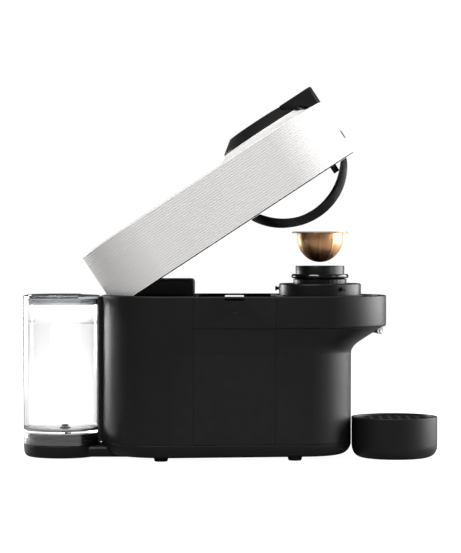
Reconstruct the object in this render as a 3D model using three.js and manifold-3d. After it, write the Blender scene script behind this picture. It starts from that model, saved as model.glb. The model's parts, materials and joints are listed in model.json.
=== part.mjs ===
// Pod coffee machine with its head sprung open: black base, clear water tank, ribbed white head.
// Millimetres. +X is the coffee side, +Y the right of someone facing it, +Z up.
// The origin is the bottom centre.
import * as THREE from "three";
import { mergeVertices } from "three/addons/utils/BufferGeometryUtils.js";
import Module from "manifold-3d";

const wasm = await Module();
wasm.setup();

// Driving dimensions.
const LENGTH = 426;
const WIDTH = 136;
const GAP = 0.3;
const WALL = 3;

// Cutting blocks run this far to each side and this high, so they pass right through the machine.
const REACH = 80;
const OVERHEAD = 200;

const HALF = WIDTH / 2;
const TANK_R = 39.6;
const TANK_X = -LENGTH / 2 + TANK_R;
const TANK_TOP = 167.8;
const CUP_R = 44.2;
const CUP_X = LENGTH / 2 - CUP_R;
const CUP_TOP = 42.2;

const BODY_REAR_X = -65.2;
const AXIS_X = 92;
const BODY_TOP = 167;
const BAND_BOTTOM = 135;
const FLARE_BOTTOM = 107.8;
const BASE_SEAM = 17.8;
const BASE_BOTTOM = 4;
const COLUMN_R = 52;
const COLUMN_X = 72.5;
const BIN_REAR = -36.7;
const BIN_FRONT = 45.5;

const HINGE_X = -101.4;
const HINGE_Z = 184.7;
const HEAD_OPEN = THREE.MathUtils.degToRad(33.25);
const HEAD_BOTTOM = 167.6;
const HEAD_TOP = 230.4;
const PLINTH_TOP = 236.8;
const PLINTH_R = 45;
const DOME_TOP = 248.2;
const SHELL_WALL = 2.5;

const SEAT_R = 42.1;
const SEAT_TOP = 179;
const HOOP_R = 59;
const HOOP_INNER_R = 51.5;
const HOOP_ARC_R = 65.9;
const HOOP_ARC_Z = HEAD_BOTTOM + 30.4;
const HOOP_INNER_ARC_R = 59.7;
const HOOP_INNER_ARC_Z = HEAD_BOTTOM + 35.3;
const POD_R = 28.9;
const POD_RIM_Z = 230.6;

const ARC_STEPS = 11;
const ROUND = 24;
const FINE = 32;
const HALF_TURN = Math.PI;

// Materials.
function plastic(color, roughness, metalness = 0) {
  return new THREE.MeshStandardMaterial({ color, roughness, metalness });
}
const matteBlack = plastic(0x1d1d1d, 0.6);
const glossBlack = plastic(0x0c0c0c, 0.15);
const warmWhite = plastic(0xe6e3e0, 0.5);
const clear = plastic(0xdfe4e6, 0.05);
const smoked = plastic(0x8b9094, 0.1);
const paleTip = plastic(0xb5b5b2, 0.2);
const copper = plastic(0xb0703c, 0.3, 1);
const steel = plastic(0xb9babb, 0.3, 1);
const rubber = plastic(0x2b2b2b, 0.9);
const boardGreen = plastic(0x1f5a37, 0.5);
const valveRed = plastic(0x6b2a2e, 0.5);

// Geometry helpers. A solid is a manifold-3d body made from a closed three.js geometry.
function solid(geometry) {
  geometry.deleteAttribute("normal");
  geometry.deleteAttribute("uv");
  const merged = mergeVertices(geometry, 1e-3);
  const index = merged.index.array;
  const faces = [];
  for (let i = 0; i < index.length; i += 3) {
    const [a, b, c] = [index[i], index[i + 1], index[i + 2]];
    if (a !== b && b !== c && a !== c) faces.push(a, b, c);
  }
  const vertProperties = merged.attributes.position.array;
  const build = (triVerts) => new wasm.Manifold(new wasm.Mesh({ numProp: 3, vertProperties, triVerts }));
  const made = build(new Uint32Array(faces));
  return made.volume() > 0 ? made : build(new Uint32Array(faces.reverse()));
}

function geometryOf(body) {
  const mesh = body.getMesh();
  const geometry = new THREE.BufferGeometry();
  geometry.setAttribute("position", new THREE.BufferAttribute(mesh.vertProperties, 3));
  geometry.setIndex(new THREE.BufferAttribute(mesh.triVerts, 1));
  geometry.computeVertexNormals();
  return geometry;
}

// A turned solid about the vertical line through (x, 0): profile is [radius, z] pairs.
function turned(profile, x = 0, segments = ROUND) {
  const points = profile.map(([r, z]) => new THREE.Vector2(r, z));
  return solid(new THREE.LatheGeometry(points, segments).rotateX(HALF_TURN / 2).translate(x, 0, 0));
}

function disc(r, low, high, x = 0, segments = ROUND) {
  return turned([[0, low], [r, low], [r, high], [0, high]], x, segments);
}

function ring(inner, outer, low, high, x = 0, segments = ROUND) {
  return turned([[inner, low], [outer, low], [outer, high], [inner, high], [inner, low]], x, segments);
}

// A solid cylinder lying along Y.
function crossBar(r, x, z, y0, y1, segments = ROUND) {
  const bar = new THREE.CylinderGeometry(r, r, y1 - y0, segments);
  return solid(bar.translate(x, (y0 + y1) / 2, z));
}

function block(x0, x1, y0, y1, z0, z1) {
  const box = new THREE.BoxGeometry(x1 - x0, y1 - y0, z1 - z0);
  return solid(box.translate((x0 + x1) / 2, (y0 + y1) / 2, (z0 + z1) / 2));
}

function shapeOf(points) {
  return new THREE.Shape(points.map(([a, b]) => new THREE.Vector2(a, b)));
}

// A plate with a plan outline of [x, y] pairs.
function plate(points, z0, z1) {
  const made = new THREE.ExtrudeGeometry(shapeOf(points), { depth: z1 - z0, bevelEnabled: false });
  return solid(made.translate(0, 0, z0));
}

// A slab with a side outline of [x, z] pairs, from y0 to y1.
function slab(points, y0, y1) {
  const made = new THREE.ExtrudeGeometry(shapeOf(points), { depth: y1 - y0, bevelEnabled: false });
  return solid(made.rotateX(HALF_TURN / 2).translate(0, y1, 0));
}

// The plan outline round a rear circle and a front circle, joined by their tangents.
function eggPlan(rearX, rearR, frontX, frontR) {
  const tangent = Math.acos((rearR - frontR) / (frontX - rearX));
  const points = [];
  for (let i = 0; i <= ARC_STEPS; i += 1) {
    const angle = -tangent + (2 * tangent * i) / ARC_STEPS;
    points.push([frontX + frontR * Math.cos(angle), frontR * Math.sin(angle)]);
  }
  for (let i = 0; i <= ARC_STEPS; i += 1) {
    const angle = tangent + ((2 * HALF_TURN - 2 * tangent) * i) / ARC_STEPS;
    points.push([rearX + rearR * Math.cos(angle), rearR * Math.sin(angle)]);
  }
  return points;
}

// A solid through level plan outlines of equal length: sections is [z, outline] pairs, lowest first.
function loft(sections) {
  const count = sections[0][1].length;
  const vertices = [];
  const faces = [];
  sections.forEach(([z, outline]) => outline.forEach(([x, y]) => vertices.push(x, y, z)));
  for (let s = 0; s < sections.length - 1; s += 1) {
    for (let i = 0; i < count; i += 1) {
      const a = s * count + i;
      const b = s * count + ((i + 1) % count);
      faces.push(a, b, b + count, a, b + count, a + count);
    }
  }
  const last = (sections.length - 1) * count;
  for (let i = 1; i < count - 1; i += 1) {
    faces.push(0, i + 1, i, last, last + i, last + i + 1);
  }
  const geometry = new THREE.BufferGeometry();
  geometry.setAttribute("position", new THREE.BufferAttribute(new Float32Array(vertices), 3));
  geometry.setIndex(faces);
  return solid(geometry);
}

function joined(first, ...others) {
  return others.reduce((whole, next) => whole.add(next), first);
}

function cut(first, ...others) {
  return others.reduce((whole, next) => whole.subtract(next), first);
}

// A cutting block as wide and as high as the base, between two X positions.
function baseSlice(x0, x1) {
  return block(x0, x1, -REACH, REACH, 0, OVERHEAD);
}

const machine = new THREE.Group();

function piece(name, body, material, parent = machine) {
  const mesh = new THREE.Mesh(geometryOf(body), material);
  mesh.name = name;
  parent.add(mesh);
}

// Body outlines. Below the band the sides draw in towards the column at the front.
const FLARE = [[FLARE_BOTTOM, 0], [111.9, 0.04], [115.4, 0.13], [119.6, 0.26], [126.6, 0.6], [134.6, 1]];

function bodyPlan(inset, flare) {
  const frontX = THREE.MathUtils.lerp(COLUMN_X, AXIS_X, flare);
  const frontR = THREE.MathUtils.lerp(COLUMN_R, HALF - 4, flare);
  return eggPlan(BODY_REAR_X, HALF - inset, frontX, frontR - inset);
}

function bandPlan(inset) {
  return eggPlan(BODY_REAR_X, HALF - inset, AXIS_X, HALF - inset - 0.001);
}

function bodyVolume(inset, low, high) {
  const flares = FLARE.map(([z, share]) => [z, bodyPlan(inset, share)]);
  const edge = 2.5;
  return loft([
    [low, bodyPlan(inset, 0)],
    ...flares,
    [BAND_BOTTOM, bandPlan(inset + edge)],
    [BAND_BOTTOM + edge, bandPlan(inset)],
    [high - 1, bandPlan(inset)],
    [high, bandPlan(inset + 1)],
  ]);
}

const outer = bodyVolume(0, BASE_SEAM, BODY_TOP);
const inner = bodyVolume(WALL, BASE_SEAM - 1, BODY_TOP - WALL);

// The round trench that the hoop drops into when the head is shut.
const TRENCH_IN = 45.4;
const TRENCH_OUT = 62.6;
const hoopTrench = joined(
  ring(TRENCH_IN, HOOP_R + 1.1, 120, BODY_TOP + 2, AXIS_X, 40),
  ring(TRENCH_IN, TRENCH_OUT, BAND_BOTTOM + 2, BODY_TOP + 2, AXIS_X, 40),
).intersect(crossBar(HOOP_ARC_R + 2.4, AXIS_X, HOOP_ARC_Z, -HALF, HALF, 40));
const rootPocket = block(22, AXIS_X - TRENCH_IN, -15, 15, BODY_TOP - 14, BODY_TOP + 2);

// Base.
const REAR_END = -140;
const FRONT_END = 170;
const rearHousing = cut(outer, inner).intersect(baseSlice(REAR_END, BIN_REAR - GAP));
const rearWall = bodyVolume(0, BASE_SEAM, BODY_TOP).intersect(
  baseSlice(BIN_REAR - GAP - WALL, BIN_REAR - GAP),
);
piece("rear_housing", rearHousing.add(rearWall), matteBlack);

const core = disc(TRENCH_OUT + WALL, 127, BODY_TOP - 1, AXIS_X);
const frontHalf = baseSlice(BIN_FRONT + GAP, FRONT_END);
const frontWall = outer.intersect(baseSlice(BIN_FRONT + GAP, BIN_FRONT + GAP + WALL));
const frontHousing = cut(outer, cut(inner, core))
  .intersect(frontHalf)
  .add(frontWall);
const MOTOR_WELL_R = 31;
const spoutPocket = block(140, 158, -10, 10, 118, BAND_BOTTOM);
piece(
  "front_housing",
  cut(frontHousing, hoopTrench, rootPocket, spoutPocket, disc(MOTOR_WELL_R, 100, BODY_TOP + 2, AXIS_X)),
  matteBlack,
);

const binSlice = (low, high, inset) =>
  block(BIN_REAR + inset, BIN_FRONT - inset, -REACH, REACH, low, high);
const binOuter = outer.intersect(binSlice(BASE_SEAM + GAP, BODY_TOP, 0));
const binInner = bodyVolume(WALL, BASE_SEAM + 6, BODY_TOP + 5).intersect(
  binSlice(BASE_SEAM + 6, BODY_TOP + 5, WALL),
);
const fingerSlots = block(-5.9, 14.2, -REACH, REACH, 163, 165.2);
const bin = new THREE.Group();
machine.add(bin);
piece(
  "used_capsule_container",
  cut(binOuter, binInner, hoopTrench, rootPocket, fingerSlots),
  matteBlack,
  bin,
);

const basePlate = loft([
  [BASE_BOTTOM, bodyPlan(12, 0)],
  [BASE_BOTTOM + 1.2, bodyPlan(7, 0)],
  [BASE_BOTTOM + 4, bodyPlan(3, 0)],
  [BASE_BOTTOM + 8, bodyPlan(0.8, 0)],
  [BASE_SEAM - 4, bodyPlan(0, 0)],
  [BASE_SEAM - GAP, bodyPlan(0, 0)],
]);
const tankBowl = turned(
  [[0, 1.5], [27, 1.5], [32.5, 3], [36.6, 6.2], [38.8, 10], [TANK_R, 14], [0, 14]],
  TANK_X,
);
const neck = block(TANK_X + 20, BODY_REAR_X - 30, -26, 26, BASE_BOTTOM + 0.6, 14);
piece("base_plate", joined(basePlate, tankBowl, neck), matteBlack);

const FOOT_R = 7.5;
const FEET = {
  front_left: [65.4, -34],
  front_right: [65.4, 34],
  rear_left: [-70.2, -45],
  rear_right: [-70.2, 45],
};
for (const [place, [x, y]] of Object.entries(FEET)) {
  piece("foot_" + place, disc(FOOT_R, 0, BASE_BOTTOM - GAP, 0, 24).translate([x, y, 0]), rubber);
}

const humpSide = [
  [-104, BODY_TOP + GAP], [-37.2, BODY_TOP + GAP], [-37.2, 180.5],
  [-38.2, 182.6], [-40, 183.6], [-104, 183.6],
];
const LUG_R = 8;
const PIN_R = 3.5;
const LUG_IN = 34;
const HUMP_HALF = 42;
const hingeGap = block(-119, -88, -LUG_IN, LUG_IN, BODY_TOP + 6, 200);
const lugEnds = crossBar(LUG_R, HINGE_X, HINGE_Z, -HUMP_HALF, HUMP_HALF, 24);
const pinHole = crossBar(PIN_R + GAP, HINGE_X, HINGE_Z, -REACH, REACH, 24);
const hump = slab(humpSide, -HUMP_HALF, HUMP_HALF).add(lugEnds);
piece("hinge_hump", cut(hump, hingeGap, pinHole), matteBlack);
piece("hinge_pin", crossBar(PIN_R, HINGE_X, HINGE_Z, -50, 50, 24), steel);
const SPRING_R = 7.5;
for (const [name, y0, y1] of [["lift_spring_left", -32, -14], ["lift_spring_right", 14, 32]]) {
  const coil = crossBar(SPRING_R, HINGE_X, HINGE_Z, y0, y1, 24);
  piece(name, cut(coil, crossBar(PIN_R + GAP, HINGE_X, HINGE_Z, y0 - 1, y1 + 1, 24)), steel);
}

// The round seat on top of the body and its locking pins.
const seat = turned(
  [
    [MOTOR_WELL_R - 1, BODY_TOP + GAP], [SEAT_R, BODY_TOP + GAP], [SEAT_R, SEAT_TOP - 2],
    [SEAT_R - 2, SEAT_TOP], [MOTOR_WELL_R - 1, SEAT_TOP], [MOTOR_WELL_R - 1, BODY_TOP + GAP],
  ],
  AXIS_X,
  FINE,
);
piece("seat_ring", seat, matteBlack);
const LOCK_Z = 174;
const LOCK_PIN_R = 2.3;
for (const [name, degrees] of [["lock_pin_rear", 180], ["lock_pin_left", -60], ["lock_pin_right", 60]]) {
  const stem = new THREE.CylinderGeometry(LOCK_PIN_R, LOCK_PIN_R, 3.6, 16).rotateZ(HALF_TURN / 2);
  const pin = solid(stem.translate(SEAT_R + GAP + 1.8, 0, 0));
  piece(name, pin.rotate([0, 0, degrees]).translate([AXIS_X, 0, LOCK_Z]), matteBlack);
}

// Spinning pod holder and its drive.
const holder = new THREE.Group();
machine.add(holder);
const HOLDER_FLOOR = 163;
piece(
  "capsule_holder",
  turned(
    [
      [0, HOLDER_FLOOR - 3], [16, HOLDER_FLOOR - 3], [22.5, 171], [27.5, 178], [27.5, 183.2],
      [25, 184], [25.1, 197], [24.1, 197], [24, 182], [19, 171], [13, HOLDER_FLOOR], [0, HOLDER_FLOOR],
    ],
    AXIS_X,
  ),
  matteBlack,
  holder,
);
piece(
  "holder_rim",
  turned(
    [[25.5, 184.3], [29, 184.3], [29.5, 185.3], [29.5, 187.5], [28.6, 188.6], [25.5, 188.6], [25.5, 184.3]],
    AXIS_X,
  ),
  glossBlack,
  holder,
);
piece("motor_shaft", disc(4, 112, HOLDER_FLOOR - 3 - GAP, AXIS_X, 20), steel, holder);
piece("centrifuge_motor", ring(4.4, 27, 106, 156, AXIS_X, 32), steel);

// Insides of the rear housing, and the coffee outlet at the front.
const pumpBody = block(-112, -72, -24, 6, 26, 56);
const pumpCoil = crossBar(11, -92, 70, -24, 6, 24);
const pumpNeck = block(-98, -86, -20, 2, 50, 66);
piece("pump", joined(pumpBody, pumpCoil, pumpNeck), steel);
piece("boiler", joined(disc(24, 90, 134, -90, 28), disc(17, 86, 138, -90, 28)), steel);
piece("control_board", block(-54, -51, -48, 48, 40, 120), boardGreen);
const hoseRoute = new THREE.CatmullRomCurve3(
  [[-122, 0, 23.5], [-118, 20, 26], [-104, 32, 40], [-92, 34, 60], [-90, 30, 84]].map(
    (p) => new THREE.Vector3(...p),
  ),
);
const hoseRing = new THREE.Shape().absarc(0, 0, 3, 0, 2 * HALF_TURN);
piece(
  "water_hose",
  solid(new THREE.ExtrudeGeometry(hoseRing, { extrudePath: hoseRoute, steps: 14, curveSegments: 4 })),
  rubber,
);
piece("power_inlet", block(-114, -100, -36, -12, BASE_SEAM + GAP, BASE_SEAM + 7), matteBlack);

const SPOUT_TOP = BAND_BOTTOM - GAP;
const spoutSide = [[143.4, 129], [150.6, 128], [150.6, SPOUT_TOP], [143.4, SPOUT_TOP]];
const tipSide = [[151, 127.2], [155.4, 127.2], [156.4, 131], [156.4, SPOUT_TOP], [151, SPOUT_TOP]];
piece("spout", slab(spoutSide, -9, 9), glossBlack);
piece("spout_tip", slab(tipSide, -7, 7), paleTip);

// Water tank.
const tank = new THREE.Group();
machine.add(tank);
const TANK_WALL = 1.8;
const TANK_LOW = 14.6;
const TANK_FLOOR = 26.6;
const TANK_LIP = 163.4;
const inside = TANK_R - TANK_WALL;
const VALVE_X = TANK_X + 3;
piece(
  "tank_wall",
  cut(
    turned(
      [
        [0, TANK_FLOOR], [inside, TANK_FLOOR], [inside, TANK_LOW], [TANK_R, TANK_LOW],
        [TANK_R, TANK_LIP], [inside, TANK_LIP], [inside, TANK_FLOOR + 1.8], [0, TANK_FLOOR + 1.8],
      ],
      TANK_X,
      FINE,
    ),
    disc(3.4, 20, 34, VALVE_X, 20),
  ),
  clear,
  tank,
);
piece(
  "tank_bottom",
  cut(
    disc(inside - GAP, TANK_LOW, 21, TANK_X),
    disc(8, 10, 18, VALVE_X, 24),
    disc(2.4, 15, 30, VALVE_X, 16),
  ),
  matteBlack,
  tank,
);
piece("water_inlet", disc(5, 14.3, 17, VALVE_X, 20), rubber);

const FLAP_X = -155.6;
const lidTop = disc(TANK_R, TANK_LIP + GAP, TANK_TOP - 0.8, TANK_X, FINE).add(
  disc(TANK_R - 1.5, TANK_LIP + GAP, TANK_TOP, TANK_X, FINE),
);
const flapArea = block(TANK_X - 60, FLAP_X, -60, 60, TANK_LIP - 10, TANK_TOP + 5);
const flapOpening = disc(TANK_R - 4.4, TANK_LIP - 5, TANK_TOP + 5, TANK_X, FINE).intersect(flapArea);
const lidSkirt = ring(inside - 2.4, inside - GAP, 157.5, TANK_LIP + 1, TANK_X, FINE);
piece("tank_lid", cut(lidTop, flapOpening).add(lidSkirt), smoked, tank);
const flap = new THREE.Group();
tank.add(flap);
piece(
  "fill_flap",
  disc(TANK_R - 4.8, TANK_LIP + 1.2, TANK_TOP - 0.1, TANK_X, FINE).intersect(
    block(TANK_X - 60, FLAP_X - GAP, -60, 60, TANK_LIP, TANK_TOP + 5),
  ),
  smoked,
  flap,
);
piece(
  "water_valve",
  turned([[0, 18.4], [2, 18.4], [2, 28.7], [5.9, 28.7], [5.6, 30.4], [0, 30.8]], VALVE_X, 24),
  valveRed,
  tank,
);
piece("valve_cap", turned([[0, 31.1], [3.6, 31.1], [3.2, 33.2], [0, 33.6]], VALVE_X, 20), matteBlack, tank);

// Cup support with its drip grid.
piece(
  "cup_support",
  turned(
    [
      [0, 0], [CUP_R - 13, 0], [CUP_R - 7.5, 1.5], [CUP_R - 3, 5], [CUP_R - 0.7, 10], [CUP_R, 15],
      [CUP_R, CUP_TOP - 1], [CUP_R - 1, CUP_TOP], [CUP_R - 2.4, CUP_TOP - 0.4],
      [CUP_R - 2.8, CUP_TOP - 4.4], [CUP_R - 5, CUP_TOP - 4.4], [CUP_R - 5.4, 14], [CUP_R - 12, 4], [0, 4],
    ],
    CUP_X,
    FINE,
  ),
  matteBlack,
);
const GRID_PITCH = 9.5;
const GRID_HOLE = 3.2;
let grid = disc(CUP_R - 3.2, CUP_TOP - 4, CUP_TOP - 1.4, CUP_X, FINE);
for (let column = -3; column <= 3; column += 1) {
  for (let row = -3; row <= 3; row += 1) {
    const [x, y] = [column * GRID_PITCH, row * GRID_PITCH];
    if (Math.hypot(x, y) > CUP_R - 11) continue;
    const [x0, x1] = [x - GRID_HOLE, x + GRID_HOLE];
    const [y0, y1] = [y - GRID_HOLE, y + GRID_HOLE];
    const hole = block(x0, x1, y0, y1, CUP_TOP - 6, CUP_TOP + 1);
    grid = grid.subtract(hole.translate([CUP_X, 0, 0]));
  }
}
piece("drip_grid", grid, glossBlack);

// The pod, held over its holder.
const flute = turned(
  [
    [0, 200.8], [6, 201.2], [14, 204.6], [20, 211], [23.3, 220], [23.5, POD_RIM_Z - 0.2],
    [22.6, POD_RIM_Z - 0.2], [22.4, 220.3], [19.3, 211.8], [13.5, 205.7], [6, 202.4], [0, 202],
  ],
  AXIS_X,
);
piece("pod_shell", flute.add(ring(22.6, POD_R, POD_RIM_Z - 0.2, POD_RIM_Z + 1, AXIS_X)), copper);
piece("pod_foil", disc(POD_R - 1, POD_RIM_Z + 1.3, POD_RIM_Z + 1.8, AXIS_X), copper);

// Head. Its pieces are placed where they are when it is shut, then swung open about the hinge.
const hinge = new THREE.Group();
hinge.position.set(HINGE_X, 0, HINGE_Z);
hinge.rotation.y = -HEAD_OPEN;
machine.add(hinge);
const head = new THREE.Group();
head.position.set(-HINGE_X, 0, -HINGE_Z);
hinge.add(head);

const CHAMFER = [[-140, 160], [-99.5, 160], [-106.7, HEAD_BOTTOM], [-132.3, 184.3], [-140, 189.5]];
const headOuter = loft([
  [HEAD_BOTTOM + 1, bandPlan(0)],
  [HEAD_TOP - 2, bandPlan(0)],
  [HEAD_TOP - 0.6, bandPlan(0.6)],
  [HEAD_TOP, bandPlan(2)],
]);
const headInner = loft([
  [HEAD_BOTTOM - 1, bandPlan(SHELL_WALL)],
  [HEAD_TOP - SHELL_WALL, bandPlan(SHELL_WALL)],
]);
const plinth = turned(
  [[0, HEAD_TOP - 1], [66, HEAD_TOP - 1], [60, HEAD_TOP + 0.7], [54, HEAD_TOP + 2.1], [49, HEAD_TOP + 4],
    [46, HEAD_TOP + 5.7], [PLINTH_R, PLINTH_TOP], [0, PLINTH_TOP]],
  AXIS_X,
  FINE,
);
const leverSweep = plate(
  [[AXIS_X, 0], [AXIS_X + 85, -122], [AXIS_X + 150, 0], [AXIS_X + 125, 72]],
  220,
  260,
);
const leverRoom = turned(
  [[31, PLINTH_TOP + 0.4], [45, PLINTH_TOP + 0.4], [53.5, HEAD_TOP + 0.5], [75, HEAD_TOP + 0.5], [75, 255],
    [31, 255], [31, PLINTH_TOP + 0.4]],
  AXIS_X,
  FINE,
).intersect(leverSweep);
const SLEEVE_R = 22;
const shell = cut(joined(headOuter, plinth), headInner, leverRoom, disc(SLEEVE_R + 1, 200, 260, AXIS_X));
const chamferCut = slab(CHAMFER, -REACH, REACH);
piece("head_shell", cut(shell, chamferCut), warmWhite, head);

const BRACKET_IN = HUMP_HALF + 1.6;
const BRACKET_OUT = 49;
const frameTop = HEAD_BOTTOM + 5;
const framePlate = loft([
  [HEAD_BOTTOM, bandPlan(SHELL_WALL + 0.4)],
  [frameTop, bandPlan(SHELL_WALL + 0.4)],
]);
const humpOpening = block(-140, -29, -HUMP_HALF - 1.2, HUMP_HALF + 1.2, 150, frameTop + 1);
const DRUM_R = 50.6;
const bracketSide = [
  [-96, frameTop - 1], [-80, frameTop - 1], [-92, HINGE_Z + 8], [-104, HINGE_Z + 8],
  [-107, HINGE_Z], [-105, HINGE_Z - 6],
];
const rearRim = cut(framePlate, block(-140, -96, -REACH, REACH, 150, 190));
piece(
  "head_frame",
  cut(
    joined(
      cut(rearRim, humpOpening, disc(DRUM_R + 0.6, 150, 190, AXIS_X, FINE)),
      slab(bracketSide, BRACKET_IN, BRACKET_OUT),
      slab(bracketSide, -BRACKET_OUT, -BRACKET_IN),
    ),
    crossBar(PIN_R + 0.6, HINGE_X, HINGE_Z, -REACH, REACH, 24),
  ),
  matteBlack,
  head,
);

// The pressing parts over the pod.
const PRESS_Z = 199.6;
const CEILING = HEAD_TOP - SHELL_WALL;
piece(
  "brew_chamber",
  turned(
    [[24.4, PRESS_Z], [33, PRESS_Z], [36, PRESS_Z + 3], [36, PRESS_Z + 12], [10, PRESS_Z + 16],
      [10, CEILING - 5], [0, CEILING - 5], [0, PRESS_Z + 5], [24.4, PRESS_Z + 5], [24.4, PRESS_Z]],
    AXIS_X,
  ),
  matteBlack,
  head,
);
const needleProfile = [[0, PRESS_Z + 1], [1.4, PRESS_Z + 4], [20, PRESS_Z + 4.6], [0, PRESS_Z + 4.6]];
piece("needle_plate", turned(needleProfile, AXIS_X, 24), steel, head);
piece("gasket", ring(21.5, 24, PRESS_Z + 0.6, PRESS_Z + 4.6, AXIS_X), rubber, head);
const SPIDER_LOW = CEILING - 9.4;
const SPIDER_HIGH = CEILING - 5.4;
const spiderArm = (degrees) =>
  block(9, 62, -5, 5, SPIDER_LOW, SPIDER_HIGH).rotate([0, 0, degrees]).translate([AXIS_X, 0, 0]);
const spiderHub = ring(10.4, 18, SPIDER_LOW, SPIDER_HIGH, AXIS_X);
piece(
  "press_spider",
  cut(joined(...[45, 135, 225, 315].map(spiderArm), spiderHub), disc(10.4, 190, 235, AXIS_X)),
  steel,
  head,
);

// The lock: lever, dome and inner ring turn together round the pod's axis.
const lever = new THREE.Group();
head.add(lever);
piece(
  "lock_dome",
  turned(
    [
      [17, PLINTH_TOP + GAP], [44.8, PLINTH_TOP + GAP], [44.8, PLINTH_TOP + 1.4], [31.5, DOME_TOP - 0.6],
      [29.5, DOME_TOP + 0.4], [20, DOME_TOP + 1.6], [17, DOME_TOP + 1.6], [17, PLINTH_TOP + GAP],
    ],
    AXIS_X,
    FINE,
  ).add(ring(17, SLEEVE_R, CEILING - 3, PLINTH_TOP + 2, AXIS_X)),
  glossBlack,
  lever,
);
const leverSide = [
  [AXIS_X + 33, PLINTH_TOP + 0.8], [AXIS_X + 45.4, PLINTH_TOP + 0.8], [AXIS_X + 53.8, HEAD_TOP + 0.9],
  [AXIS_X + HALF, HEAD_TOP + 0.9], [AXIS_X + HALF, DOME_TOP - 0.6], [AXIS_X + HALF - 2, DOME_TOP],
  [AXIS_X + 29, DOME_TOP],
];
const leverBar = slab(leverSide, -24, 24).intersect(disc(HALF, 220, 260, AXIS_X, FINE));
const domeKeepOut = turned(
  [
    [0, 230], [45.3, 230], [45.3, PLINTH_TOP + 1.6], [31.8, DOME_TOP - 0.4],
    [30, DOME_TOP + 2], [0, DOME_TOP + 2],
  ],
  AXIS_X,
  FINE,
);
piece("lock_lever", cut(leverBar, domeKeepOut), matteBlack, lever);
const TAB_LOW = HEAD_BOTTOM + 0.8;
const TAB_HIGH = LOCK_Z - LOCK_PIN_R - 0.6;
const tab = (degrees) =>
  ring(43.8, 48.2, TAB_LOW, TAB_HIGH, 0, FINE)
    .intersect(block(30, 60, -9, 9, 150, 200))
    .rotate([0, 0, degrees])
    .translate([AXIS_X, 0, 0]);
piece(
  "lock_ring",
  joined(
    ring(47.6, DRUM_R - 0.4, TAB_LOW, 186, AXIS_X, FINE),
    tab(210),
    tab(-30),
    tab(90),
  ),
  matteBlack,
  lever,
);

const CATCH_ANGLE = -31.7;
const catchBlock = ring(46.8, DRUM_R - 0.4, HEAD_BOTTOM - 7.5, TAB_LOW - GAP, 0, FINE)
  .intersect(block(30, 60, -4, 4, 150, 200))
  .rotate([0, 0, CATCH_ANGLE])
  .translate([AXIS_X, 0, 0]);
piece("front_catch", catchBlock, matteBlack, lever);

const button = new THREE.Group();
head.add(button);
piece(
  "brew_button",
  turned(
    [
      [0, DOME_TOP - 5], [14.4, DOME_TOP - 5], [14.4, DOME_TOP + 1.6],
      [11, DOME_TOP + 2.4], [0, DOME_TOP + 2.8],
    ],
    AXIS_X,
  ),
  glossBlack,
  button,
);
piece("light_ring", ring(14.9, 16.6, DOME_TOP - 4, DOME_TOP + 1.2, AXIS_X), clear, lever);

// The hoop under the head, which lifts the used pod out as the head opens.
const hoopBand = cut(
  crossBar(HOOP_ARC_R, AXIS_X, HOOP_ARC_Z, -70, 70, 48),
  crossBar(HOOP_INNER_ARC_R, AXIS_X, HOOP_INNER_ARC_Z, -71, 71, 48),
);
const hoopCrown = ring(HOOP_INNER_R, HOOP_R, 120, HEAD_BOTTOM - GAP, AXIS_X, 40);
const hoopRoot = slab(
  [[AXIS_X - 63, HEAD_BOTTOM - GAP], [AXIS_X - 62, HEAD_BOTTOM - 5], [AXIS_X - 57, HEAD_BOTTOM - 11],
    [AXIS_X - 52, HEAD_BOTTOM - 11], [AXIS_X - 50.5, HEAD_BOTTOM - 4.4], [AXIS_X - 50.5, HEAD_BOTTOM - GAP]],
  -11,
  11,
);
piece("ejector_hoop", joined(hoopBand.intersect(hoopCrown), hoopRoot), glossBlack, head);

const BADGE_X = AXIS_X + HALF;
const badge = block(BADGE_X + 0.3, BADGE_X + 1, -9, 9, HEAD_BOTTOM + 17, HEAD_BOTTOM + 26);
piece("badge_plate", badge, smoked, head);

export default machine;
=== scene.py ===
"""Looks of the pod coffee machine: black base, clear tank, ribbed white head open over a copper pod."""

import json
import math

import bmesh
import bpy
from mathutils import Matrix, Vector

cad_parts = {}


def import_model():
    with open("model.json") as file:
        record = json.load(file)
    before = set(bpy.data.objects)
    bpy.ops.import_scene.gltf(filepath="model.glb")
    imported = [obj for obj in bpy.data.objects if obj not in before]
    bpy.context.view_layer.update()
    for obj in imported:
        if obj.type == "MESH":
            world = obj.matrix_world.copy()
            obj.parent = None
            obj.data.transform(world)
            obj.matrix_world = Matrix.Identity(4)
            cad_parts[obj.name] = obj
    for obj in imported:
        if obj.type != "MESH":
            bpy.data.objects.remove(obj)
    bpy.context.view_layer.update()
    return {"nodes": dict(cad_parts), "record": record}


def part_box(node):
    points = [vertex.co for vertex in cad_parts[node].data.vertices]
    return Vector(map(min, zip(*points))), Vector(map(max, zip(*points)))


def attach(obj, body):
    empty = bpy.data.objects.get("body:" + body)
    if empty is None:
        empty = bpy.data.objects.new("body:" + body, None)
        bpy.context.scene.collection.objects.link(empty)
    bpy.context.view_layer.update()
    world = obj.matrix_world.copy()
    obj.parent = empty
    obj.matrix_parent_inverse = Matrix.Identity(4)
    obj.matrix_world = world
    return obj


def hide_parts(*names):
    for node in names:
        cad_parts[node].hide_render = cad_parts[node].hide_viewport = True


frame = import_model()

MM = 0.001
TURN = 2 * math.pi
ROUND = 128
scene = bpy.context.scene


# ---------------------------------------------------------------- places taken from the frame, in millimetres


def span(node):
    """A node's lowest and highest corner in millimetres."""
    low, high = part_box(node)
    return [v / MM for v in low], [v / MM for v in high]


def middle_x(node):
    low, high = span(node)
    return (low[0] + high[0]) / 2


def half_length(node):
    """Half a node's length along X, which is the radius of a round one."""
    low, high = span(node)
    return (high[0] - low[0]) / 2


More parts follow.
